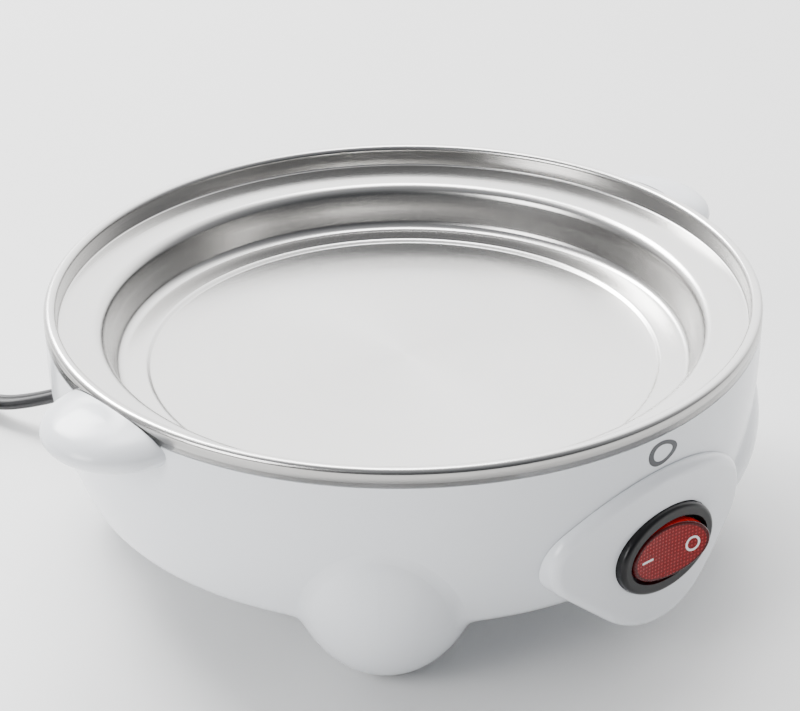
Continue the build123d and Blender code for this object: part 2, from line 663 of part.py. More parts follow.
def route_radii(points):
    """The largest arc at each inner point: 0.45 of the shorter run over tan(half the turn)."""
    places = [Vector(*p) if isinstance(p, tuple) else p for p in points]
    radii = []
    for before, here, after in zip(places, places[1:], places[2:]):
        first, second = here - before, after - here
        radii.append(0.45 * min(first.length, second.length) / tan(radians(first.get_angle(second)) / 2))
    return radii


lead_radii = route_radii(lead_points)
with BuildPart() as power_cord:
    with BuildLine() as lead_line:
        FilletPolyline(*lead_points, radius=lead_radii)
    with BuildSketch(Plane(lead_line.line @ 0, z_dir=lead_line.line % 0)):
        Circle(cord_width / 2)
    sweep()
finish(power_cord.part, "power_cord")
print("lead radii", [round(r, 1) for r in lead_radii])
lead_length = lead_line.wires()[0].length
print("lead volume", round(power_cord.part.volume), "section x length",
      round(pi * (cord_width / 2) ** 2 * lead_length), "length", round(lead_length, 1))

with BuildPart() as cord_coil:
    with BuildSketch(Plane.XY):
        with Locations(coil_centre):
            Circle(coil_radius + coil_half_band)
            Circle(coil_radius - coil_half_band, mode=Mode.SUBTRACT)
    extrude(amount=coil_height)
    fillet(cord_coil.edges(), 2.2)
finish(cord_coil.part, "cord_coil")

tie_angle = radians(300)
tie_place = Plane(
    (coil_centre[0] + coil_radius * cos(tie_angle), coil_centre[1] + coil_radius * sin(tie_angle), 0),
    x_dir=(cos(tie_angle), sin(tie_angle), 0), z_dir=(sin(tie_angle), -cos(tie_angle), 0),
)
tie_width, tie_thick = 4.0, 1.0
with BuildPart() as cord_tie:
    with BuildSketch(tie_place.offset(-tie_width / 2)):
        with Locations((0, coil_height / 2 + tie_thick / 2)):
            RectangleRounded(coil_half_band * 2 + tie_thick * 2, coil_height + tie_thick, 2.6)
            RectangleRounded(coil_half_band * 2, coil_height - tie_thick, 1.8, mode=Mode.SUBTRACT)
    extrude(amount=tie_width)
finish(cord_tie.part, "cord_tie")

# ---- plug, lying beside the coil with its blades towards -Y ----------------------------------
relief_start_y, plug_back_y, plug_front_y = 121.0, 101.0, 76.0
plug_width, plug_thick = 24.0, 13.0
blade_gap, blade_size, blade_out = 12.7, (1.5, 6.35), 16.5

with BuildPart() as plug_relief:
    with BuildSketch(Plane((plug_x, relief_start_y, 4.4), x_dir=(1, 0, 0), z_dir=(0, -1, 0))):
        Ellipse(3.6, 2.6)
    with BuildSketch(Plane((plug_x, plug_back_y, plug_z), x_dir=(1, 0, 0), z_dir=(0, -1, 0))):
        Ellipse(5.6, 4.2)
    loft()
finish(plug_relief.part, "plug_relief")

with BuildPart() as plug_body:
    with BuildSketch(Plane((plug_x, plug_back_y, plug_z), x_dir=(1, 0, 0), z_dir=(0, -1, 0))):
        RectangleRounded(plug_width - 9, plug_thick - 3.0, 4.2)
    with BuildSketch(Plane((plug_x, plug_back_y - 9, plug_z), x_dir=(1, 0, 0), z_dir=(0, -1, 0))):
        RectangleRounded(plug_width, plug_thick, 4.8)
    with BuildSketch(Plane((plug_x, plug_front_y, plug_z), x_dir=(1, 0, 0), z_dir=(0, -1, 0))):
        RectangleRounded(plug_width - 1, plug_thick - 0.6, 4.4)
    loft(ruled=True)
    with BuildSketch(Plane((plug_x, plug_front_y, plug_z), x_dir=(1, 0, 0), z_dir=(0, 1, 0))):
        with GridLocations(blade_gap, 1, 2, 1):
            Rectangle(blade_size[0], blade_size[1])
    extrude(amount=8, mode=Mode.SUBTRACT)
finish(plug_body.part, "plug_body")

with BuildPart() as plug_blades:
    with BuildSketch(Plane((plug_x, plug_front_y + 8, plug_z), x_dir=(1, 0, 0), z_dir=(0, -1, 0))):
        with GridLocations(blade_gap, 1, 2, 1):
            Rectangle(blade_size[0], blade_size[1])
    extrude(amount=8 + blade_out)
    fillet(plug_blades.edges().group_by(Axis.Y)[0].filter_by(Axis.Z), 0.5)
    with Locations(Location((plug_x, plug_front_y - blade_out + 4.5, plug_z), (0, 90, 0))):
        Cylinder(1.6, plug_width, mode=Mode.SUBTRACT)
finish(plug_blades.part, "plug_blades")

print(len(finished), "nodes")
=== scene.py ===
"""Looks of a round electric egg cooker base: steel bowl, white housing, red rocker switch."""
from math import ceil, cos, pi, radians, sin, sqrt

import bmesh
import bpy
from mathutils import Matrix, Vector


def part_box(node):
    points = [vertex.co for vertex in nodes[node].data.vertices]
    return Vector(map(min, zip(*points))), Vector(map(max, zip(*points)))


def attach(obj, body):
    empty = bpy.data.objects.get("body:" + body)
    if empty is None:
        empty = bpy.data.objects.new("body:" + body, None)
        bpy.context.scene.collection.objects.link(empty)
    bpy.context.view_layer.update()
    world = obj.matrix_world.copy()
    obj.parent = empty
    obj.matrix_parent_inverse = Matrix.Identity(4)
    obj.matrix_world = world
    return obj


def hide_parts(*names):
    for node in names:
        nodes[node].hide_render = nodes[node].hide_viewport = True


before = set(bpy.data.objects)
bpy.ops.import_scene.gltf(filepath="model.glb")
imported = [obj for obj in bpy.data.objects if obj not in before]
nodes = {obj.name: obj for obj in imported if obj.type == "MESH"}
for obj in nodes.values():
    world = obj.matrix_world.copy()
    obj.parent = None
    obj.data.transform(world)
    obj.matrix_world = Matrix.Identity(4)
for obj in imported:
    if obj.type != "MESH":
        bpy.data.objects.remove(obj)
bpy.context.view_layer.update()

# ---- View ------------------------------------------------------------------------------------
# The cooker is seen from in front of its left handle, a little above the rim, so that the bowl,
# one handle, one foot and the switch all show.
view_bearing, view_height, view_distance = radians(-41.0), 0.46916, 0.56669
view_pan, view_tip, view_lean = 0.001537, -0.030946, -0.010143
rim_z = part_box("bowl")[1].z


def tilted(first, second, angle):
    """Two directions turned together by an angle in the plane that they share."""
    return first * cos(angle) - second * sin(angle), second * cos(angle) + first * sin(angle)


level_out = cos(view_height)
back = Vector((sin(view_bearing) * level_out, -cos(view_bearing) * level_out, sin(view_height)))
ahead, across = -back, Vector((cos(view_bearing), sin(view_bearing), 0))
above = across.cross(ahead)
ahead, across = tilted(ahead, across, view_pan)
ahead, above = tilted(ahead, above, -view_tip)
across, above = tilted(across, above, -view_lean)
camera = bpy.data.objects.new("Camera", bpy.data.cameras.new("Camera"))
camera.data.lens, camera.data.sensor_width = 103.5, 36
camera.data.clip_start = 0.01
camera.matrix_world = Matrix.Translation(Vector((0, 0, rim_z)) + back * view_distance) @ Matrix(
    (across, above, -ahead)).transposed().to_4x4()
bpy.context.scene.collection.objects.link(camera)
bpy.context.scene.camera = camera


# ---- Mains lead ------------------------------------------------------------------------------
# Black flat twin lead, two PVC-covered cores side by side with a groove between them. It leaves
# the boot at the back, drops to the worktop and is wound into a small coil behind the cooker.
class Signal:
    """One shader value that can be worked on like a number."""

    def __init__(self, shading, socket):
        self.shading, self.socket = shading, socket

    def work(self, operation, *values):
        return self.shading.node("Math", {"operation": operation}, dict(enumerate(values)))

    def __add__(self, other):
        return self.work("ADD", self, other)

    def __radd__(self, other):
        return self.work("ADD", other, self)

    def __sub__(self, other):
        return self.work("SUBTRACT", self, other)

    def __rsub__(self, other):
        return self.work("SUBTRACT", other, self)

    def __mul__(self, other):
        return self.work("MULTIPLY", self, other)

    def __rmul__(self, other):
        return self.work("MULTIPLY", other, self)

    def __truediv__(self, other):
        return self.work("DIVIDE", self, other)

    def __rtruediv__(self, other):
        return self.work("DIVIDE", other, self)

    def __pow__(self, other):
        return self.work("POWER", self, other)


class Shading:
    """A tree of shader nodes, with the one way to add a node and to set or link its sockets."""

    def __init__(self, tree):
        self.tree = tree

    def put(self, made, sockets):
        for key, value in sockets.items():
            if isinstance(value, Signal):
                self.tree.links.new(value.socket, made.inputs[key])
            else:
                made.inputs[key].default_value = value

    def node(self, kind, settings=None, sockets=None, out=0):
        made = self.tree.nodes.new("ShaderNode" + kind)
        for key, value in (settings or {}).items():
            if key == "stops":
                while len(made.color_ramp.elements) < len(value):
                    made.color_ramp.elements.new(0.5)
                for element, (place, colour) in zip(made.color_ramp.elements, value):
                    element.position, element.color = place, colour
            else:
                setattr(made, key, value)
        self.put(made, sockets or {})
        return Signal(self, made.outputs[out])


class Finish(Shading):
    """A material round one Principled shader, with the nodes that vary it."""

    def __init__(self, name, **sockets):
        self.material = bpy.data.materials.new(name)
        self.material.use_nodes = True
        super().__init__(self.material.node_tree)
        self.shader = self.tree.nodes["Principled BSDF"]
        self.put(self.shader, {key.replace("_", " "): value for key, value in sockets.items()})

    def place(self, stretch=(1, 1, 1), turn=(0, 0, 0), move=(0, 0, 0)):
        """Object coordinates in metres, stretched, turned and then moved."""
        here = self.node("TexCoord", out="Object")
        return self.node("Mapping", {}, {
            "Vector": here, "Location": move, "Rotation": turn, "Scale": stretch})

    def axes(self, spot):
        """The X, Y and Z of a vector."""
        made = self.node("SeparateXYZ", {}, {0: spot}).socket.node
        return [Signal(self, made.outputs[axis]) for axis in ("X", "Y", "Z")]

    def noise(self, scale, detail=2.0, **places):
        return self.node("TexNoise", {}, {"Vector": self.place(**places), "Scale": scale, "Detail": detail})

    def mix(self, share, first, second):
        return self.node("Mix", {"data_type": "RGBA"}, {0: share, 6: first, 7: second}, out=2)

    def bump(self, height, depth, strength=1.0):
        return self.node("Bump", {}, {"Height": height, "Distance": depth, "Strength": strength})

    def wear(self, *names):
        """Put this finish on the named CAD nodes."""
        for name in names:
            if not nodes[name].material_slots:
                nodes[name].data.materials.append(None)
            for held in nodes[name].material_slots:
                held.material = self.material


def moulded(name, colour, roughness, grain=400.0, depth=0.00003, drift=0.06, **sockets):
    """A moulded plastic: faint flow marks in the colour, a fine skin and slightly uneven gloss."""
    finish = Finish(name, **sockets)
    flow = finish.noise(45.0)
    dark = tuple(part * (1 - drift) for part in colour)
    skin = finish.noise(grain, 3.0)
    finish.put(finish.shader, {
        "Base Color": finish.mix(flow, (*dark, 1), (*colour, 1)),
        "Roughness": roughness * 0.85 + finish.noise(120.0) * roughness * 0.3,
        "Normal": finish.bump(skin, depth, 0.5),
    })
    return finish


def solid(name, mesh, finish, body="root"):
    """Link a finished mesh as one piece that rides on a body."""
    piece = bpy.data.objects.new(name, mesh)
    bpy.context.scene.collection.objects.link(piece)
    mesh.materials.append(finish.material)
    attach(piece, body)
    return piece


core_radius, core_spread = 0.0015, 0.00145
boot_out = Vector((-sin(radians(25)), cos(radians(25)), 0))
boot_dir = boot_out * cos(radians(25)) - Vector((0, 0, sin(radians(25))))
boot_root, boot_length = boot_out * 0.0815 + Vector((0, 0, 0.0222)), 0.023
lead_exit = boot_root + boot_dir * boot_length
coil_centre, coil_turn_steps, coil_first_bearing = Vector((-0.094, 0.132, 0)), 12, 26
coil_lie = (  # step round the coil, reach from its middle and height of the lead
    (0, 0.0365, 0.0017), (9, 0.0360, 0.0017), (11, 0.0345, 0.0017), (13, 0.0298, 0.0017),
    (22, 0.0298, 0.0017), (24, 0.0298, 0.0052), (34, 0.0300, 0.0052), (35, 0.0315, 0.0060),
    (36, 0.0356, 0.0057), (41, 0.0360, 0.0052),
)
route = [
    lead_exit, lead_exit + boot_dir * 0.009,
    Vector((-0.0525, 0.1125, 0.0044)), Vector((-0.0535, 0.1300, 0.0017)),
]
for (first, near_r, near_z), (last, far_r, far_z) in zip(coil_lie, coil_lie[1:]):
    for step in range(first, last + (last == coil_lie[-1][0])):
        share = (step - first) / (last - first)
        bearing = radians(coil_first_bearing + 360 / coil_turn_steps * step)
        reach, height = near_r + (far_r - near_r) * share, near_z + (far_z - near_z) * share
        route.append(coil_centre + Vector((cos(bearing) * reach, sin(bearing) * reach, height)))
route += [
    Vector((-0.1306, 0.1265, 0.0048)), Vector((-0.131, 0.121, 0.0044)), Vector((-0.131, 0.117, 0.0046)),
]

line = bpy.data.curves.new("lead_line", "CURVE")
line.dimensions, line.resolution_u = "3D", 10
spline = line.splines.new("NURBS")
spline.points.add(len(route) - 1)
for control, spot in zip(spline.points, route):
    control.co = (*spot, 1)
spline.order_u, spline.use_endpoint_u = 3, True
line_object = bpy.data.objects.new("lead_line", line)
bpy.context.scene.collection.objects.link(line_object)
bpy.context.view_layer.update()
traced = bpy.data.meshes.new_from_object(line_object.evaluated_get(bpy.context.evaluated_depsgraph_get()))
lead_path = [vertex.co.copy() for vertex in traced.vertices]
bpy.data.objects.remove(line_object)
bpy.data.meshes.remove(traced)

section = []
for side in (1, -1):
    for step in range(13):
        angle = radians(-150 + 25 * step)
        section.append((side * (core_spread + core_radius * cos(angle)), side * core_radius * sin(angle)))
shape = bmesh.new()
uv = shape.loops.layers.uv.new("lead")
rings, travelled = [], 0.0
for number, spot in enumerate(lead_path):
    heading = (lead_path[min(number + 1, len(lead_path) - 1)] - lead_path[max(number - 1, 0)]).normalized()
    flat = heading.cross(Vector((0, 0, 1))).normalized()
    lift = flat.cross(heading)
    rings.append([shape.verts.new(spot + flat * x + lift * y) for x, y in section])
    if number:
        before = travelled
        travelled += (spot - lead_path[number - 1]).length
        for k in range(len(section)):
            n = (k + 1) % len(section)
            face = shape.faces.new((rings[-2][k], rings[-2][n], rings[-1][n], rings[-1][k]))
            corners = ((k, before), (k + 1, before), (k + 1, travelled), (k, travelled))
            for loop, (u, v) in zip(face.loops, corners):
                loop[uv].uv = (u / len(section), v)
shape.faces.new(rings[0][::-1])
shape.faces.new(rings[-1])
bmesh.ops.recalc_face_normals(shape, faces=shape.faces)
for face in shape.faces:
    face.smooth = True
lead_mesh = bpy.data.meshes.new("lead")
shape.to_mesh(lead_mesh)
shape.free()
lead_pvc = Finish("lead_pvc", Specular_IOR_Level=0.5)
along = lead_pvc.node("UVMap", {"uv_map": "lead"})
stretch = lead_pvc.node("Mapping", {}, {"Vector": along, "Scale": (6, 400, 1)})
drawn = lead_pvc.node("TexNoise", {}, {"Vector": stretch, "Scale": 3.0, "Detail": 2.0})
lead_pvc.put(lead_pvc.shader, {
    "Base Color": lead_pvc.mix(drawn, (0.012, 0.012, 0.013, 1), (0.022, 0.022, 0.024, 1)),
    "Roughness": 0.3 + drawn * 0.15,
    "Normal": lead_pvc.bump(drawn, 0.00005, 0.4),
})
lead = solid("mains_lead", lead_mesh, lead_pvc)
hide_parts("power_cord", "cord_coil")
tie_pvc = moulded("tie_pvc", (0.02, 0.02, 0.021), 0.45)
tie_pvc.wear("cord_tie")
plug_pvc = moulded("plug_pvc", (0.018, 0.018, 0.019), 0.4, grain=900.0)
plug_pvc.wear("plug_relief", "plug_body")
plug_brass = Finish("plug_brass", Metallic=1.0)
rubbed = plug_brass.noise(300.0, 3.0, stretch=(1, 0.1, 1))
plug_brass.put(plug_brass.shader, {
    "Base Color": plug_brass.mix(rubbed, (0.62, 0.60, 0.55, 1), (0.78, 0.76, 0.70, 1)),
    "Roughness": 0.22 + rubbed * 0.2,
    "Normal": plug_brass.bump(rubbed, 0.00002, 0.5),
})
plug_brass.wear("plug_blades")

# ---- Boiling bowl ----------------------------------------------------------------------------
# One pressing of 0.6 mm stainless steel: rolled outer band, seat for the lid, sloping ledge and
# the boiling well. It was spun against a belt, so the brushing runs round it.
sheet = 0.0006
bowl_line = [
    (0.0876, 0.0618), (0.0876, 0.0657), (0.0852, 0.0657), (0.0852, 0.0602), (0.0744, 0.0584),
    (0.0715, 0.0472), (0.0642, 0.0472), (0.0632, 0.0465), (0, 0.0465),
]
bowl_bends = [0.0011, 0.0011, 0.0009, 0.0032, 0.0030, 0.0008, 0.0008]


def bent(points, radii, steps=7, longest=0.004):
    """The folded line with each corner rounded, as close points with their sideways directions."""
    path = [Vector(points[0])]
    for before, here, after, radius in zip(points, points[1:], points[2:], radii):
        here = Vector(here)
        enter, leave = (Vector(before) - here).normalized(), (Vector(after) - here).normalized()
        half = enter.angle(leave) / 2
        cut = radius / (sin(half) / cos(half))
        middle = here + (enter + leave).normalized() * (radius / sin(half))
        start, end = here + enter * cut - middle, here + leave * cut - middle
        sweep = start.angle_signed(end)
        for step in range(steps + 1):
            path.append(middle + Matrix.Rotation(-sweep * step / steps, 2) @ start)
    path.append(Vector(points[-1]))
    close = [path[0]]
    for spot in path[1:]:
        pieces = max(1, ceil((spot - close[-1]).length / longest))
        start = close[-1]
        close += [start.lerp(spot, (k + 1) / pieces) for k in range(pieces)]
    sideways = []
    for number in range(len(close)):
        run = close[min(number + 1, len(close) - 1)] - close[max(number - 1, 0)]
        sideways.append(Vector((-run.y, run.x)).normalized())
    sideways[-1] = Vector((0, 1)) if sideways[-1].y > 0 else Vector((0, -1))
    return close, sideways


class Recipe:
    """A Geometry Nodes tree and its modifier's named sizes."""

    def __init__(self, name):
        self.tree = bpy.data.node_groups.new(name, "GeometryNodeTree")
        self.tree.interface.new_socket("Geometry", in_out="INPUT", socket_type="NodeSocketGeometry")
        self.tree.interface.new_socket("Geometry", in_out="OUTPUT", socket_type="NodeSocketGeometry")
        self.start = self.tree.nodes.new("NodeGroupInput")
        self.end = self.tree.nodes.new("NodeGroupOutput")
        self.sizes = {}

    def size(self, name, value, kind="NodeSocketFloat"):
        made = self.tree.interface.new_socket(name, in_out="INPUT", socket_type=kind)
        self.sizes[made.identifier] = value
        return self.start.outputs[name]

    def node(self, kind, settings=None, sockets=None, out=0):
        made = self.tree.nodes.new(kind)
        for key, value in (settings or {}).items():
            setattr(made, key, value)
        for key, value in (sockets or {}).items():
            if isinstance(value, bpy.types.NodeSocket):
                self.tree.links.new(value, made.inputs[key])
            else:
                made.inputs[key].default_value = value
        return made.outputs[out]

    def maths(self, operation, *values):
        return self.node("ShaderNodeMath", {"operation": operation}, dict(enumerate(values)))

    def make(self, name, mesh, finish):
        """Close the tree, run it on the mesh and return the plain mesh that it makes."""
        whole = self.node("GeometryNodeRealizeInstances", {}, {0: self.made})
        dressed = self.node("GeometryNodeSetMaterial", {}, {0: whole, "Material": finish.material})
        self.tree.links.new(dressed, self.end.inputs[0])
        holder = bpy.data.objects.new(name, mesh)
        bpy.context.scene.collection.objects.link(holder)
        work = holder.modifiers.new("recipe", "NODES")
        work.node_group = self.tree
        for identifier, value in self.sizes.items():
            work[identifier] = value
        bpy.context.view_layer.update()
        plain = bpy.data.meshes.new_from_object(holder.evaluated_get(bpy.context.evaluated_depsgraph_get()))
        holder.modifiers.remove(work)
        bpy.data.objects.remove(holder)
        tidy = bmesh.new()
        tidy.from_mesh(plain)
        bmesh.ops.remove_doubles(tidy, verts=tidy.verts, dist=1e-7)
        bmesh.ops.recalc_face_normals(tidy, faces=tidy.faces)
        if tidy.calc_volume(signed=True) < 0:
            bmesh.ops.reverse_faces(tidy, faces=tidy.faces)
        for face in tidy.faces:
            face.smooth = True
        tidy.to_mesh(plain)
        tidy.free()
        plain.name = name
        plain.materials.clear()
        return plain


bowl_middle, bowl_side = bent(bowl_line, bowl_bends)
bowl_section = [spot + side * sheet / 2 for spot, side in zip(bowl_middle, bowl_side)][::-1]
bowl_section += [spot - side * sheet / 2 for spot, side in zip(bowl_middle, bowl_side)]
profile = bpy.data.meshes.new("bowl_profile")
profile.from_pydata([(spot.x, 0, spot.y) for spot in bowl_section], [], [])

steel = Finish("bowl_steel", Metallic=1.0, Anisotropic=0.65)
flat_x, flat_y, height = steel.axes(steel.place())
reach = (flat_x * flat_x + flat_y * flat_y) ** 0.5


def brushed(fine, around, detail):
    """Noise drawn out round the bowl's axis, without a seam where the turn closes."""
    ring = steel.node("CombineXYZ", {}, {
        0: flat_x / reach * around, 1: flat_y / reach * around, 2: height * fine})
    return steel.node("TexNoise", {"noise_dimensions": "4D"}, {
        "Vector": ring, "W": reach * fine, "Scale": 1.0, "Detail": detail})


streak, bands = brushed(5200.0, 2.5, 3.0), brushed(900.0, 0.8, 2.0)
# Painted light: the level faces (well floor, ledge, seat) are painted brighter, a painted reflection of the
# soft box above and behind. The steep walls are painted darker, painted shade from the dark near side of
# the room. The bands within each are real brushing.
facing = steel.axes(steel.node("TexCoord", out="Normal"))[2]
level = facing * facing  # level faces are set brighter than the steep walls
steep = steel.mix(bands, (0.36, 0.352, 0.34, 1), (0.47, 0.462, 0.45, 1))
level_painted_reflection = steel.mix(bands, (0.70, 0.695, 0.685, 1), (0.76, 0.755, 0.745, 1))
steel.put(steel.shader, {
    "Base Color": steel.mix(level, steep, level_painted_reflection),
    "Roughness": 0.16 + streak * 0.12,
    "Normal": steel.bump(streak, 0.000008, 0.5),
})

lathe = Recipe("bowl_lathe")
segments = lathe.size("Segments", 288, "NodeSocketInt")
count = lathe.size("Profile points", len(bowl_section), "NodeSocketInt")
columns = lathe.maths("ADD", segments, 1.0)
sheet_grid = lathe.node("GeometryNodeMeshGrid", {}, {"Vertices X": columns, "Vertices Y": count})
index = lathe.node("GeometryNodeInputIndex")
column = lathe.maths("FLOOR", lathe.maths("DIVIDE", lathe.maths("ADD", index, 0.5), count))
row = lathe.maths("SUBTRACT", index, lathe.maths("MULTIPLY", column, count))
position = lathe.node("GeometryNodeInputPosition")
taken = lathe.node("GeometryNodeSampleIndex", {"data_type": "FLOAT_VECTOR"}, {
    "Geometry": lathe.start.outputs[0], "Value": position, "Index": row})
taken_split = lathe.node("ShaderNodeSeparateXYZ", {}, {0: taken}).node
bearing = lathe.maths("DIVIDE", lathe.maths("MULTIPLY", column, 2 * pi), segments)
placed = lathe.node("ShaderNodeCombineXYZ", {}, {
    0: lathe.maths("MULTIPLY", taken_split.outputs["X"], lathe.maths("COSINE", bearing)),
    1: lathe.maths("MULTIPLY", taken_split.outputs["X"], lathe.maths("SINE", bearing)),
    2: taken_split.outputs["Z"],
})
lathe.made = lathe.node("GeometryNodeSetPosition", {}, {"Geometry": sheet_grid, "Position": placed})
bowl = solid("boiling_bowl", lathe.make("boiling_bowl", profile, steel), steel)
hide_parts("bowl")

# ---- Rim gasket ------------------------------------------------------------------------------
# Thin ring of grey-white silicone that lies on the housing's lip and keeps boiled-over water
# out of the gutter under the steel band.
silicone = moulded("silicone", (0.62, 0.62, 0.60), 0.55, drift=0.04)
silicone.wear("rim_gasket")

# ---- Housing ---------------------------------------------------------------------------------
# White polypropylene moulding with four egg-shaped feet and two ear handles, glossy outside.
# The bowl drops in from above and the floor is closed from below.
white = Finish("white_plastic", Coat_Weight=0.25, Coat_Roughness=0.08, IOR=1.49)
flow = white.noise(28.0)
skin = white.noise(420.0, 2.0)
ear_x, ear_y, ear_z = white.axes(white.place())
ear_out, ear_along = ear_x.work("ABSOLUTE", ear_x), ear_y.work("ABSOLUTE", ear_y)
dish_reach, dish_half_width, dish_half_length = 0.0925, 0.0085, 0.0135
dish_oval = (
    ((ear_out - dish_reach) / dish_half_width) ** 2.0 + (ear_along / dish_half_length) ** 2.0) ** 0.5
dish = white.node("MapRange", {"interpolation_type": "SMOOTHSTEP"}, {
    "Value": dish_oval, "From Min": 0.35, "From Max": 1.0})
ear_top = white.node("MapRange", {"interpolation_type": "SMOOTHSTEP"}, {
    "Value": ear_z, "From Min": 0.0595, "From Max": 0.0615})
white.put(white.shader, {
    "Base Color": white.mix(flow, (0.79, 0.815, 0.85, 1), (0.82, 0.84, 0.87, 1)),
    "Roughness": 0.20 + white.noise(90.0) * 0.06,
    "Normal": white.bump((dish - 1.0) * ear_top + skin * 0.01, 0.0009, 0.6),
})
white.wear("housing")
pad_rubber = moulded("pad_rubber", (0.10, 0.10, 0.10), 0.7, grain=1200.0, depth=0.00008)
pad_rubber.wear("foot_pads")

# ---- Switch panel ----------------------------------------------------------------------------
# Separate rounded-triangle moulding of the same white plastic, screwed on from inside, with a
# softly rounded border and a seat for the rocker switch.
panel_white = Finish("panel_white", Coat_Weight=0.3, Coat_Roughness=0.07, IOR=1.49)
panel_flow = panel_white.noise(60.0)
panel_white.put(panel_white.shader, {
    "Base Color": panel_white.mix(panel_flow, (0.78, 0.80, 0.835, 1), (0.81, 0.83, 0.86, 1)),
    "Roughness": 0.2 + panel_white.noise(150.0) * 0.05,
    "Normal": panel_white.bump(panel_white.noise(500.0), 0.00001, 0.3),
})
panel_white.wear("switch_panel")


def plated(name, colour, roughness, **sockets):
    """A plain or plated metal: faint smears in the colour and gloss, fine scratches."""
    finish = Finish(name, Metallic=1.0, **sockets)
    smear = finish.noise(180.0, 3.0)
    dark = tuple(part * 0.82 for part in colour)
    finish.put(finish.shader, {
        "Base Color": finish.mix(smear, (*dark, 1), (*colour, 1)),
        "Roughness": roughness * 0.8 + smear * roughness * 0.5,
        "Normal": finish.bump(finish.noise(1500.0, 2.0, stretch=(1, 1, 0.15)), 0.00001, 0.4),
    })
    return finish


zinc = plated("zinc_steel", (0.62, 0.63, 0.66), 0.32)
zinc.wear("panel_screws")

# ---- Switch body -----------------------------------------------------------------------------
# Glossy black nylon frame with an oval bezel that snaps into the panel, and three tinned
# blades out of its back.
bezel_black = moulded("bezel_black", (0.006, 0.006, 0.007), 0.30, grain=700.0, depth=0.000015, IOR=1.35)
bezel_black.wear("switch_body")
tinned = plated("tinned_brass", (0.72, 0.66, 0.50), 0.3)
tinned.wear("switch_terminals")

# ---- Rocker ----------------------------------------------------------------------------------
# Clear red lens with a grid of small prisms under its face, printed white with the on dash and
# the off ring. A neon lamp lights it; a plunger on a spring holds it either way.
# The lens's emission is painted light: a painted glow in the lens's own colours that stands in for the neon
# lamp shining through it.
lens = Finish("red_lens", IOR=1.33, Specular_IOR_Level=0.35, Emission_Strength=0.07)
lens_turn = radians(7)
pivot_reach, pivot_z = 0.088, 0.0328
lens_x, lens_y, lens_z = lens.axes(lens.place(
    turn=(0, 0, lens_turn), move=(-pivot_reach * sin(lens_turn), pivot_reach * cos(lens_turn), -pivot_z)))
prism, lens_half_width, lens_half_height, skirt_top = 0.00095, 0.0113, 0.0070, 0.0038
ripple = (lens_x * (pi / prism)).work("SINE", lens_x * (pi / prism)) ** 2.0
ripple_up = (lens_z * (pi / prism)).work("SINE", lens_z * (pi / prism)) ** 2.0
grid = ripple * ripple_up
lens_oval = ((lens_x / lens_half_width) ** 2.0 + (lens_z / lens_half_height) ** 2.0) ** 0.5
lens_rise = lens_y * -1.0


def step_up(value, low, high):
    """A soft step from 0 to 1 as the value passes from low to high."""
    return lens.node("MapRange", {"interpolation_type": "SMOOTHSTEP"}, {
        "Value": value, "From Min": low, "From Max": high})


skirt = 1.0 - step_up(lens_rise, 0.0034, skirt_top)
border = step_up(lens_oval, 0.885, 0.915) * (1.0 - skirt)
face_red = lens.mix(grid, (0.15, 0.002, 0.003, 1), (0.36, 0.007, 0.008, 1))
edged = lens.mix(border, face_red, (0.060, 0.001, 0.002, 1))
lens_colour = lens.mix(skirt, edged, (0.60, 0.008, 0.006, 1))
lens.put(lens.shader, {
    "Base Color": lens_colour, "Emission Color": lens_colour,
    "Roughness": 0.20 + grid * 0.12,
    "Normal": lens.bump(grid * (1.0 - border), 0.00010, 0.5),
})
lens.wear("rocker")
rocker_spot = Vector((0, -pivot_reach, pivot_z))
rocker_x = Vector((cos(lens_turn), -sin(lens_turn), 0))
rocker_out = Vector((-sin(lens_turn), -cos(lens_turn), 0))
print_white = Finish("print_white")
print_grain = print_white.noise(2500.0)
print_white.put(print_white.shader, {
    "Base Color": print_white.mix(print_grain, (0.80, 0.80, 0.80, 1), (0.92, 0.92, 0.92, 1)),
    "Roughness": 0.42 + print_grain * 0.1,
})


def inked(name, rings, finish, body="root"):
    """A thin band of ink, skinned round its four rings of points."""
    ink = bmesh.new()
    loops = [[ink.verts.new(spot) for spot in ring] for ring in rings]
    for near, far in zip(loops, loops[1:] + loops[:1]):
        for k in range(len(near)):
            ink.faces.new((near[k], near[k - 1], far[k - 1], far[k]))
    bmesh.ops.recalc_face_normals(ink, faces=ink.faces)
    mesh = bpy.data.meshes.new(name)
    ink.to_mesh(mesh)
    ink.free()
    solid(name, mesh, finish, body=body)


face_front, face_hollow, face_curve = 0.0052, 0.0012, 0.070
print_sunk, print_proud = -0.00005, 0.00006


def printed(name, outer, inner):
    """A printed mark on the rocker's hollow face, between an outer and an inner outline."""
    rings = []
    sides = ((outer, print_sunk), (outer, print_proud), (inner, print_proud), (inner, print_sunk))
    for outline, depth in sides:
        ring = []
        for x, z in outline:
            face_height = face_front - face_hollow + face_curve - sqrt(face_curve**2 - x**2)
            ring.append(rocker_spot + rocker_x * x + Vector((0, 0, z)) + rocker_out * (face_height + depth))
        rings.append(ring)
    inked(name, rings, print_white, body="rocker")


def oval(x, z, half_x, half_z, power=1.0, count=48):
    """Points round an oval, squarer as power falls."""
    points = []
    for k in range(count):
        c, s = cos(2 * pi * k / count), sin(2 * pi * k / count)
        right, up = (1 if c > 0 else -1), (1 if s > 0 else -1)
        points.append((x + half_x * abs(c) ** power * right, z + half_z * abs(s) ** power * up))
    return points


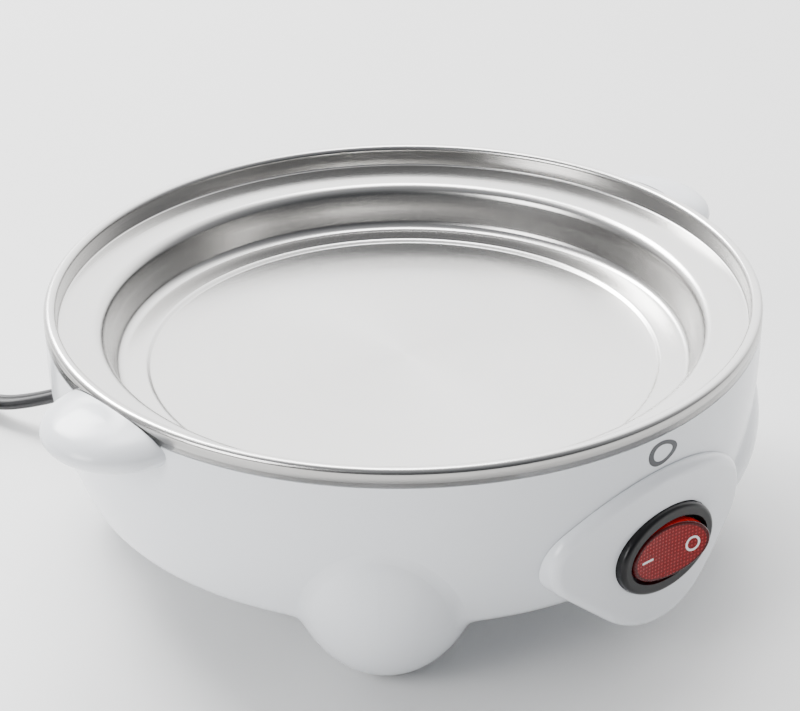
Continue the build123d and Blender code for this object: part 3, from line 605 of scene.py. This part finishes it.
printed("on_mark", oval(-0.0068, 0, 0.0017, 0.00028, 0.3), oval(-0.0068, 0, 0.0008, 0.00002, 0.3))
printed("off_mark", oval(0.0064, 0, 0.0020, 0.0020), oval(0.0064, 0, 0.00145, 0.00145))
nylon = moulded("nylon", (0.72, 0.70, 0.62), 0.45)
nylon.wear("detent_plunger")
spring_steel = plated("spring_steel", (0.45, 0.45, 0.47), 0.25)
spring_steel.wear("detent_spring")
lamp_glass = Finish("lamp_glass", Transmission_Weight=0.6, IOR=1.45)
glow = lamp_glass.noise(500.0)
lamp_glass.put(lamp_glass.shader, {
    "Base Color": lamp_glass.mix(glow, (0.85, 0.50, 0.35, 1), (0.95, 0.75, 0.65, 1)),
    "Roughness": 0.08 + glow * 0.06,
})
lamp_glass.wear("neon_lamp")
contact_brass = plated("contact_brass", (0.78, 0.58, 0.30), 0.28)
contact_brass.wear("contact_lever")

# ---- Heater ----------------------------------------------------------------------------------
# Cast aluminium disc pressed against the bowl's floor with a sheathed heating ring let into
# it; ceramic beads and steel pins at the ring's open ends, crimped to the wires.
cast = Finish("cast_aluminium", Metallic=1.0)
pits = cast.noise(900.0, 4.0)
cast.put(cast.shader, {
    "Base Color": cast.mix(cast.noise(60.0), (0.50, 0.50, 0.51, 1), (0.66, 0.66, 0.67, 1)),
    "Roughness": 0.42 + pits * 0.2, "Normal": cast.bump(pits, 0.00006, 0.7)})
cast.wear("heat_plate")
sheath = plated("heater_steel", (0.33, 0.30, 0.27), 0.42)
sheath.wear("heating_tube")
bead = moulded("ceramic", (0.78, 0.75, 0.68), 0.6, grain=1500.0, depth=0.00006)
bead.wear("heater_seals")
plated("pin_steel", (0.55, 0.55, 0.56), 0.3).wear("heater_pins", "crimp_sleeves")

# ---- Thermostat and fuse ---------------------------------------------------------------------
# A snap-action thermostat in an aluminium cup and phenolic body, held on the disc by a bracket
# and two screws, and a thermal fuse in a clip beside it.
plated("cup_aluminium", (0.68, 0.68, 0.69), 0.3).wear("thermostat_cap", "thermal_fuse")
zinc.wear("thermostat_bracket", "thermostat_screws", "fuse_clip", "fuse_clip_screw")
moulded("phenolic", (0.06, 0.035, 0.025), 0.38).wear("thermostat_body")
tinned.wear("thermostat_tabs")

# ---- Base cover ------------------------------------------------------------------------------
# Round white cover with cooling slots on three posts that screw up into the disc; the screws
# are zinc-plated with cross recesses.
moulded("post_nylon", (0.70, 0.69, 0.66), 0.42).wear("tie_posts")
cover_white = moulded("cover_white", (0.79, 0.80, 0.81), 0.42, grain=1100.0, depth=0.00006, drift=0.03)
cover_white.wear("base_cover")
zinc.wear("base_screws")

# ---- Inner wiring ----------------------------------------------------------------------------
# Wires with heat-resistant covers, black for the live, white for the neutral and the heater, red
# from the switch, with natural nylon sleeves over the push-on terminals.
wire_black = moulded("wire_black", (0.02, 0.02, 0.02), 0.45)
wire_black.wear("live_wire")
wire_white = moulded("wire_white", (0.75, 0.75, 0.73), 0.5)
wire_white.wear("neutral_wire", "fuse_wire", "heater_wire")
moulded("wire_red", (0.5, 0.03, 0.02), 0.45).wear("switched_wire")
moulded("sleeve_nylon", (0.80, 0.79, 0.74), 0.35).wear("push_on_sleeves")

# ---- Lead boot -------------------------------------------------------------------------------
# Black PVC boot where the lead leaves the housing, tapered, with moulded ribs that let it bend
# without cutting into the lead.
boot_pvc = moulded("boot_pvc", (0.016, 0.016, 0.017), 0.42, grain=900.0)
boot_pvc.wear("strain_relief")
ribs = Recipe("boot_ribs")
rib_count = ribs.size("Ribs", 6, "NodeSocketInt")
rib_first = ribs.size("First", 0.0070)
rib_pitch = ribs.size("Pitch", 0.0026)
rib_thick = ribs.size("Thickness", 0.00045)
boot_radius = ribs.size("Boot radius", 0.0046)
boot_taper = ribs.size("Boot taper", 0.045)
hoop_scale = 0.004
points = ribs.node("GeometryNodeMeshLine", {}, {"Count": rib_count, "Offset": (0, 0, 0)})
number = ribs.node("GeometryNodeInputIndex")
rib_at = ribs.maths("ADD", rib_first, ribs.maths("MULTIPLY", number, rib_pitch))
spaced = ribs.node("GeometryNodeSetPosition", {}, {
    "Geometry": points, "Position": ribs.node("ShaderNodeCombineXYZ", {}, {2: rib_at})})
hoop = ribs.node("GeometryNodeCurvePrimitiveCircle", {}, {"Resolution": 40, "Radius": 1.0})
bead_round = ribs.node("GeometryNodeCurvePrimitiveCircle", {}, {
    "Resolution": 10, "Radius": ribs.maths("DIVIDE", rib_thick, hoop_scale)})
rib_shape = ribs.node("GeometryNodeCurveToMesh", {}, {"Curve": hoop, "Profile Curve": bead_round})
width = ribs.maths("SUBTRACT", boot_radius, ribs.maths("MULTIPLY", rib_at, boot_taper))
scale = ribs.node("ShaderNodeCombineXYZ", {}, {0: width, 1: width, 2: hoop_scale})
ribs.made = ribs.node("GeometryNodeInstanceOnPoints", {}, {
    "Points": spaced, "Instance": rib_shape, "Scale": scale})
empty_mesh = bpy.data.meshes.new("boot_line")
rib_mesh = ribs.make("boot_ribs", empty_mesh, boot_pvc)
rib_mesh.transform(Matrix.Translation(boot_root) @ boot_dir.to_track_quat("Z", "Y").to_matrix().to_4x4())
solid("boot_ribs", rib_mesh, boot_pvc)

# ---- Printed mark ----------------------------------------------------------------------------
# A small egg outline printed in dark grey ink on the housing wall above the panel.
ink_grey = Finish("ink_grey")
ink_wear = ink_grey.noise(2200.0)
ink_grey.put(ink_grey.shader, {
    "Base Color": ink_grey.mix(ink_wear, (0.035, 0.037, 0.045, 1), (0.06, 0.062, 0.07, 1)),
    "Roughness": 0.35 + ink_wear * 0.1,
})
wall_radius, mark_z = 0.0879, 0.0571
egg_half_length, egg_half_height, egg_point = 0.0046, 0.0030, 0.22
egg_inside, egg_sunk, egg_proud, egg_points = 0.66, -0.00004, 0.00005, 64
egg_rings = []
for grow, lift in ((1.0, egg_sunk), (1.0, egg_proud), (egg_inside, egg_proud), (egg_inside, egg_sunk)):
    ring = []
    for k in range(egg_points):
        angle = 2 * pi * k / egg_points
        x = egg_half_length * grow * cos(angle)
        z = egg_half_height * grow * sin(angle) * (1 - egg_point * cos(angle))
        around = x / wall_radius
        radius = wall_radius + lift
        ring.append((sin(around) * radius, -cos(around) * radius, mark_z + z))
    egg_rings.append(ring)
inked("egg_mark", egg_rings, ink_grey)

# ---- Studio ----------------------------------------------------------------------------------
# Pale worktop and soft light: a strong soft box behind and above, weaker ones on the left and
# overhead, and a room that is bright behind on the right and dark on the near side.
floor_mesh = bpy.data.meshes.new("floor")
floor_mesh.from_pydata([(-4, -4, 0), (4, -4, 0), (4, 4, 0), (-4, 4, 0)], [], [(0, 1, 2, 3)])
floor = bpy.data.objects.new("floor", floor_mesh)
bpy.context.scene.collection.objects.link(floor)
stone = Finish("floor_stone")
cloud = stone.noise(9.0, 3.0)
stone.put(stone.shader, {
    "Base Color": stone.mix(cloud, (0.80, 0.80, 0.79, 1), (0.85, 0.85, 0.85, 1)),
    "Roughness": 0.42 + cloud * 0.1,
})
floor_mesh.materials.append(stone.material)

for name, spot, aim, size, power in (
    ("soft_box_back", (0.05, 1.05, 0.95), (0, 0, 0.04), 0.55, 30.0),
    ("soft_box_left", (-1.15, 0.10, 0.60), (0, 0, 0.04), 0.60, 13.0),
    ("soft_box_top", (0.30, 0.45, 1.6), (0, 0, 0.04), 0.60, 14.0),
):
    box_light = bpy.data.lights.new(name, "AREA")
    box_light.size, box_light.energy, box_light.shape = size, power, "SQUARE"
    lamp = bpy.data.objects.new(name, box_light)
    lamp.location = spot
    lamp.rotation_mode = "QUATERNION"
    lamp.rotation_quaternion = (Vector(aim) - Vector(spot)).to_track_quat("-Z", "Y")
    bpy.context.scene.collection.objects.link(lamp)

world = bpy.data.worlds.new("studio")
world.use_nodes = True
bpy.context.scene.world = world
room = Shading(world.node_tree)
brightest_side = (0.583, 0.657, 0.477)
lean = room.node("VectorMath", {"operation": "DOT_PRODUCT"}, {
    0: room.node("TexCoord", out="Generated"), 1: brightest_side}, out="Value")
wash = room.node("ValToRGB", {"stops": (
    (0.25, (0.035, 0.037, 0.040, 1)), (0.66, (0.16, 0.162, 0.168, 1)), (0.93, (1.0, 1.0, 1.0, 1)),
)}, {0: lean * 0.5 + 0.5})
room.put(room.tree.nodes["Background"], {"Color": wash, "Strength": 3.4})
